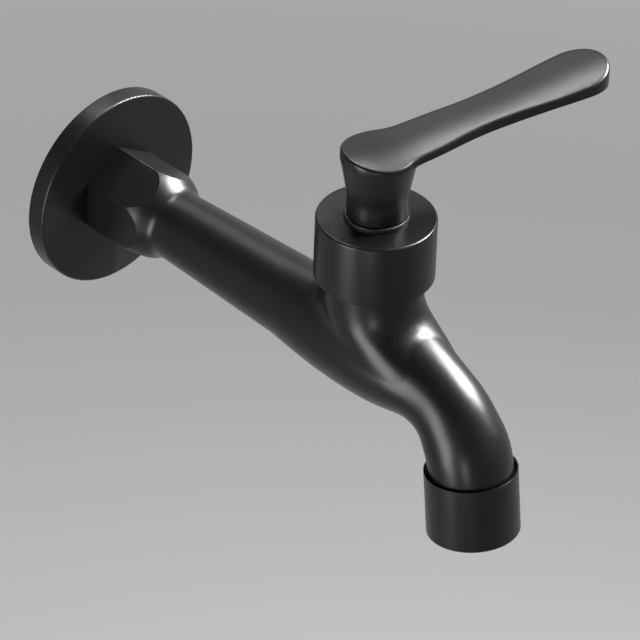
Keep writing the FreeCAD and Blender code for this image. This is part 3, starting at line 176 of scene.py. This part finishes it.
MM = 0.001
CREASE = math.radians(24)
PIPE_RADIUS, PIPE_PITCH, FINE_PITCH = 10.478, 1.814, 1.0
COLLAR_RADIUS, SPOUT_END_RADIUS = 13.2, 11.95
VALVE_REACH = 111.75
RIM_REACH, RIM_DROP, RIM_TILT = 153.105, 20.811, math.radians(-6.25)
VALVE_PLACE = Matrix.Translation((0, -VALVE_REACH * MM, 0))
INLET_PLACE = Matrix.Rotation(math.radians(-90), 4, "X")
RIM_PLACE = (Matrix.Translation((0, -RIM_REACH * MM, -RIM_DROP * MM))
             @ Matrix.Rotation(RIM_TILT, 4, "X"))
INLET_THREAD_START, INLET_THREAD_EDGE = -5.9, 10.6
INLET_BORE_END, INLET_BORE_EDGE = -85, 8.4
CHAMBER_FLOOR, CHAMBER_TOP, CHAMBER_EDGE = 3.7, 31.4, 10.6
COLLAR_THREAD_FOOT, COLLAR_EDGE = 25.4, 13.3
SPOUT_THREAD_TOP = -2.85
OUTLET_BORE_TOP, OUTLET_BORE_EDGE = 10, 9.4
BLACK = (0.0024, 0.0024, 0.0028, 1.0)
BLACK_WORN = (0.0042, 0.0042, 0.0046, 1.0)
BRASS = (0.62, 0.42, 0.17, 1.0)
BRASS_DULL = (0.47, 0.31, 0.13, 1.0)
CLOUDS_TO_GRAIN = 12
THREAD_DEPTH = 0.58  # share of the pitch
THREAD_CLEARANCE = 0.08  # share of the pitch
GROOVE_WIDTH = 0.9  # share of the pitch
GROOVE_BOTTOM = 0.16  # share of the groove's width


def new_finish(name, colors, roughness, metallic=0.0, grain=400, grain_depth=0.02,
               stretch=(1, 1, 1), gloss=0.5):
    """A finish whose colour drifts between two tones, with a fine grain in bump and roughness."""
    finish = bpy.data.materials.new(name)
    finish.use_nodes = True
    tree = finish.node_tree
    shader = tree.nodes["Principled BSDF"]
    shader.inputs["Metallic"].default_value = metallic
    shader.inputs["Specular IOR Level"].default_value = gloss
    place = tree.nodes.new("ShaderNodeTexCoord")
    mapping = tree.nodes.new("ShaderNodeMapping")
    mapping.inputs["Scale"].default_value = stretch
    tree.links.new(place.outputs["Object"], mapping.inputs["Vector"])

    clouds = tree.nodes.new("ShaderNodeTexNoise")
    clouds.inputs["Scale"].default_value = grain / CLOUDS_TO_GRAIN
    clouds.inputs["Detail"].default_value = 4
    tones = tree.nodes.new("ShaderNodeMix")
    tones.data_type = "RGBA"
    tones.inputs["A"].default_value = colors[0]
    tones.inputs["B"].default_value = colors[1]
    tree.links.new(mapping.outputs["Vector"], clouds.inputs["Vector"])
    tree.links.new(clouds.outputs["Fac"], tones.inputs["Factor"])
    tree.links.new(tones.outputs["Result"], shader.inputs["Base Color"])

    speck = tree.nodes.new("ShaderNodeTexNoise")
    speck.inputs["Scale"].default_value = grain
    speck.inputs["Detail"].default_value = 3
    spread = tree.nodes.new("ShaderNodeMapRange")
    spread.inputs["To Min"].default_value = roughness[0]
    spread.inputs["To Max"].default_value = roughness[1]
    bump = tree.nodes.new("ShaderNodeBump")
    bump.inputs["Strength"].default_value = 0.5
    bump.inputs["Distance"].default_value = grain_depth * MM
    tree.links.new(mapping.outputs["Vector"], speck.inputs["Vector"])
    tree.links.new(speck.outputs["Fac"], spread.inputs["Value"])
    tree.links.new(spread.outputs["Result"], shader.inputs["Roughness"])
    tree.links.new(speck.outputs["Fac"], bump.inputs["Height"])
    tree.links.new(bump.outputs["Normal"], shader.inputs["Normal"])
    return finish


def smooth_copy(node, name, finish, body):
    """A merged copy of a CAD node, smooth but for its edges, that stands for the node."""
    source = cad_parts[node]
    piece = bpy.data.objects.new(name, source.data.copy())
    bpy.context.scene.collection.objects.link(piece)
    take(piece)
    piece.data.materials.clear()
    piece.data.materials.append(finish)
    bpy.ops.object.mode_set(mode="EDIT")
    bpy.ops.mesh.select_all(action="SELECT")
    bpy.ops.mesh.remove_doubles(threshold=1e-6)
    bpy.ops.object.mode_set(mode="OBJECT")
    if piece.data.has_custom_normals:
        bpy.ops.mesh.customdata_custom_splitnormals_clear()
    bpy.ops.object.shade_smooth_by_angle(angle=CREASE)
    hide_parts(node)
    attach(piece, body)
    return piece


def cut_thread(piece, place, radius, pitch, low, high, inside=False, steps=48):
    """Cuts a screw thread into a round face, between two levels along its axis, all in mm."""
    way = -1 if inside else 1
    depth, clear = THREAD_DEPTH * pitch, THREAD_CLEARANCE * pitch
    middle = radius - way * (depth - clear) / 2
    centre = (middle * MM, 0, low * MM)
    deselect()
    bpy.ops.mesh.primitive_plane_add(size=MM, location=centre, rotation=(math.pi / 2, 0, 0))
    tool = bpy.context.object
    bpy.ops.object.transform_apply()
    bpy.ops.object.mode_set(mode="EDIT")
    bpy.ops.transform.resize(value=(depth + clear, 1, GROOVE_WIDTH * pitch), center_override=centre)
    bpy.ops.mesh.delete(type="ONLY_FACE")
    bpy.ops.mesh.select_all(action="DESELECT")
    bpy.ops.object.mode_set(mode="OBJECT")
    for corner in tool.data.vertices:
        corner.select = way * (corner.co.x - middle * MM) < 0
    bpy.ops.object.mode_set(mode="EDIT")
    bpy.ops.transform.resize(value=(1, 1, GROOVE_BOTTOM), center_override=centre)
    bpy.ops.object.mode_set(mode="OBJECT")
    turn = tool.modifiers.new("turn", "SCREW")
    turn.axis = "Z"
    turn.screw_offset = pitch * MM
    turn.iterations = math.ceil((high - low) / pitch)
    turn.steps = turn.render_steps = steps
    bpy.ops.object.modifier_apply(modifier="turn")
    bpy.ops.object.mode_set(mode="EDIT")
    bpy.ops.mesh.select_all(action="DESELECT")
    bpy.ops.mesh.select_non_manifold()
    bpy.ops.mesh.fill_holes(sides=4)
    bpy.ops.mesh.select_all(action="SELECT")
    bpy.ops.mesh.normals_make_consistent(inside=False)
    bpy.ops.object.mode_set(mode="OBJECT")
    tool.matrix_world = place
    take(piece)
    cut = piece.modifiers.new("thread", "BOOLEAN")
    cut.operation = "DIFFERENCE"
    cut.solver = "EXACT"
    cut.object = tool
    bpy.ops.object.modifier_apply(modifier="thread")
    bpy.data.objects.remove(tool)
    bpy.ops.object.shade_smooth_by_angle(angle=CREASE)


def is_machined(centre):
    """Whether a face of the casting, by its centre, is cut after the coating."""
    x, y, z = centre / MM
    from_inlet = math.hypot(x, z)
    from_valve = math.hypot(x, y + VALVE_REACH)
    from_rim = RIM_PLACE.inverted() @ centre / MM
    from_outlet = math.hypot(from_rim.x, from_rim.y)
    inlet_thread = y > INLET_THREAD_START and from_inlet < INLET_THREAD_EDGE
    inlet_bore = y > INLET_BORE_END and from_inlet < INLET_BORE_EDGE
    chamber = from_valve < CHAMBER_EDGE and CHAMBER_FLOOR < z < CHAMBER_TOP
    collar_thread = from_valve < COLLAR_EDGE and z > COLLAR_THREAD_FOOT
    spout_thread = from_rim.z < SPOUT_THREAD_TOP
    outlet_bore = from_outlet < OUTLET_BORE_EDGE and from_rim.z < OUTLET_BORE_TOP
    return inlet_thread or inlet_bore or chamber or collar_thread or spout_thread or outlet_bore


satin_black = new_finish("satin_black", (BLACK, BLACK_WORN), (0.29, 0.36), grain=1100,
                         grain_depth=0.02, gloss=0.27)
bare_brass = new_finish("bare_brass", (BRASS, BRASS_DULL), (0.24, 0.42), 1.0, grain=700,
                        grain_depth=0.015)

casting = smooth_copy("tap_body", "casting", satin_black, "tap_fixed")
cut_thread(casting, INLET_PLACE, PIPE_RADIUS, PIPE_PITCH, low=-5.1, high=14.6)
cut_thread(casting, VALVE_PLACE, PIPE_RADIUS, PIPE_PITCH, low=23.2, high=31.6, inside=True)
cut_thread(casting, VALVE_PLACE, COLLAR_RADIUS, FINE_PITCH, low=25.5, high=31.6)
cut_thread(casting, RIM_PLACE, SPOUT_END_RADIUS, FINE_PITCH, low=-11.0, high=-3.5)
casting.data.materials.append(bare_brass)
for face in casting.data.polygons:
    if is_machined(face.center):
        face.material_index = 1

# The inlet strainer: a moulded acetal basket with slots, pushed into the mouth of the inlet,
# where it keeps grit away from the ceramic discs.

ACETAL = (0.8, 0.8, 0.78, 1.0)
ACETAL_SHADE = (0.74, 0.74, 0.715, 1.0)


def dress(node, finish):
    """Gives a CAD node its finish."""
    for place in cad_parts[node].material_slots:
        place.material = finish


white_acetal = new_finish("white_acetal", (ACETAL, ACETAL_SHADE), (0.34, 0.46), grain=500,
                          grain_depth=0.01)
dress("inlet_strainer", white_acetal)

# The cover's seal: a flat ring of soft black rubber in the cover's hollow back, pressed on by
# the cover when the inlet is screwed home.

RUBBER = (0.018, 0.018, 0.018, 1.0)
RUBBER_BLOOM = (0.034, 0.034, 0.035, 1.0)

black_rubber = new_finish("black_rubber", (RUBBER, RUBBER_BLOOM), (0.62, 0.85), grain=350,
                          grain_depth=0.05)
dress("wall_seal", black_rubber)

# The cover: a shallow dish pressed from sheet brass and coated satin black like the body. It
# slides over the thread and is held by the hexagon.

smooth_copy("escutcheon", "cover", satin_black, "tap_fixed")

# The seat seal: a sleeve of nitrile rubber round a stiff acetal ring. It stands on the seat in
# the body and presses up on the lower disc.

dress("seat_seal", black_rubber)
dress("seal_support_ring", white_acetal)

# The discs: two plates of aluminium oxide, lapped so flat that they seal on each other. The lower
# is held by its tabs, and the upper turns with the spindle over its two ports.

CERAMIC = (0.86, 0.845, 0.79, 1.0)
CERAMIC_FLECK = (0.79, 0.77, 0.7, 1.0)

lapped_ceramic = new_finish("lapped_ceramic", (CERAMIC, CERAMIC_FLECK), (0.12, 0.2), grain=900,
                            grain_depth=0.004)
dress("fixed_disc", lapped_ceramic)
dress("moving_disc", lapped_ceramic)

# The headwork: a brass body turned from hexagon bar, with the thread that screws it into the
# valve chamber and a windowed skirt round the discs. A red fibre ring seals under its hexagon.

FIBRE = (0.33, 0.075, 0.04, 1.0)
FIBRE_PALE = (0.47, 0.16, 0.1, 1.0)

red_fibre = new_finish("red_fibre", (FIBRE, FIBRE_PALE), (0.7, 0.92), grain=800,
                       grain_depth=0.05, stretch=(1, 1, 3))
headwork = smooth_copy("headwork_body", "headwork", bare_brass, "tap_fixed")
cut_thread(headwork, VALVE_PLACE, radius=10.448, pitch=PIPE_PITCH, low=21.4, high=30.6)
dress("headwork_washer", red_fibre)

# The spindle: brass, with a drive tongue, stops, grooves for two rubber rings and fine splines at
# the top. A spring clip above the headwork and an acetal ring below its shoulder hold it.

STEEL = (0.6, 0.6, 0.615, 1.0)
STEEL_DULL = (0.47, 0.47, 0.485, 1.0)

spring_steel = new_finish("spring_steel", (STEEL, STEEL_DULL), (0.22, 0.36), 1.0, grain=900,
                          grain_depth=0.008, stretch=(1, 1, 4))
dress("spindle", bare_brass)
dress("spindle_o_rings", black_rubber)
dress("thrust_washer", white_acetal)
dress("retaining_clip", spring_steel)

# The cap: a brass cover turned thin, threaded inside at its lower end, screwed down over the
# headwork on the body's collar, and coated with the body.

cap = smooth_copy("bonnet_cap", "cap", satin_black, "tap_fixed")
cut_thread(cap, VALVE_PLACE, radius=13.23, pitch=FINE_PITCH, low=24.4, high=30.4, inside=True)

# The guide ring: black acetal, pushed into the cap's hole. It centres the headwork and leaves the
# handle's hub a hair's breadth above it.

DARK_ACETAL = (0.006, 0.006, 0.0065, 1.0)
DARK_ACETAL_SHEEN = (0.011, 0.011, 0.0115, 1.0)

black_acetal = new_finish("black_acetal", (DARK_ACETAL, DARK_ACETAL_SHEEN), (0.36, 0.5),
                          grain=600, grain_depth=0.01, gloss=0.3)
smooth_copy("guide_ring", "hub_ring", black_acetal, "tap_fixed")

# The handle: a flared hub and a blade that rises and widens to its round tip, cast as one piece
# in brass, tumbled smooth and coated with the body. Its bore has splines for the spindle.

smooth_copy("handle", "lever_and_hub", satin_black, "lever")

# The grub screw: stainless steel with a hexagon socket. It locks the handle on the spindle, and
# a black acetal plug covers it, flush with the hub under the blade.

SCREW_LEVEL = 50.7
LEVER_HEADING = math.radians(-16)
SCREW_PLACE = (Matrix.Translation((0, -VALVE_REACH * MM, SCREW_LEVEL * MM))
               @ Matrix.Rotation(LEVER_HEADING, 4, "Z")
               @ Matrix.Rotation(math.radians(90), 4, "Y"))

screw = smooth_copy("grub_screw", "locking_screw", spring_steel, "lever")
cut_thread(screw, SCREW_PLACE, radius=2.0, pitch=0.7, low=3.9, high=7.6, steps=24)
dress("screw_plug", black_acetal)

# The aerator's insert: an acetal cage with a honeycomb grid below and two discs of fine holes
# above, under a rubber ring that seals on the spout's end.

dress("aerator_washer", black_rubber)
dress("aerator_strainer", white_acetal)
dress("aerator_diffuser", white_acetal)
dress("aerator_cage", white_acetal)

# The aerator sleeve: turned from brass bar and coated with the body, threaded inside and screwed
# over the spout's end, with an inner lip that carries the insert.

sleeve = smooth_copy("aerator_housing", "aerator_sleeve", satin_black, "tap_fixed")
cut_thread(sleeve, RIM_PLACE, radius=11.98, pitch=FINE_PITCH, low=-10.6, high=-2.6, inside=True)
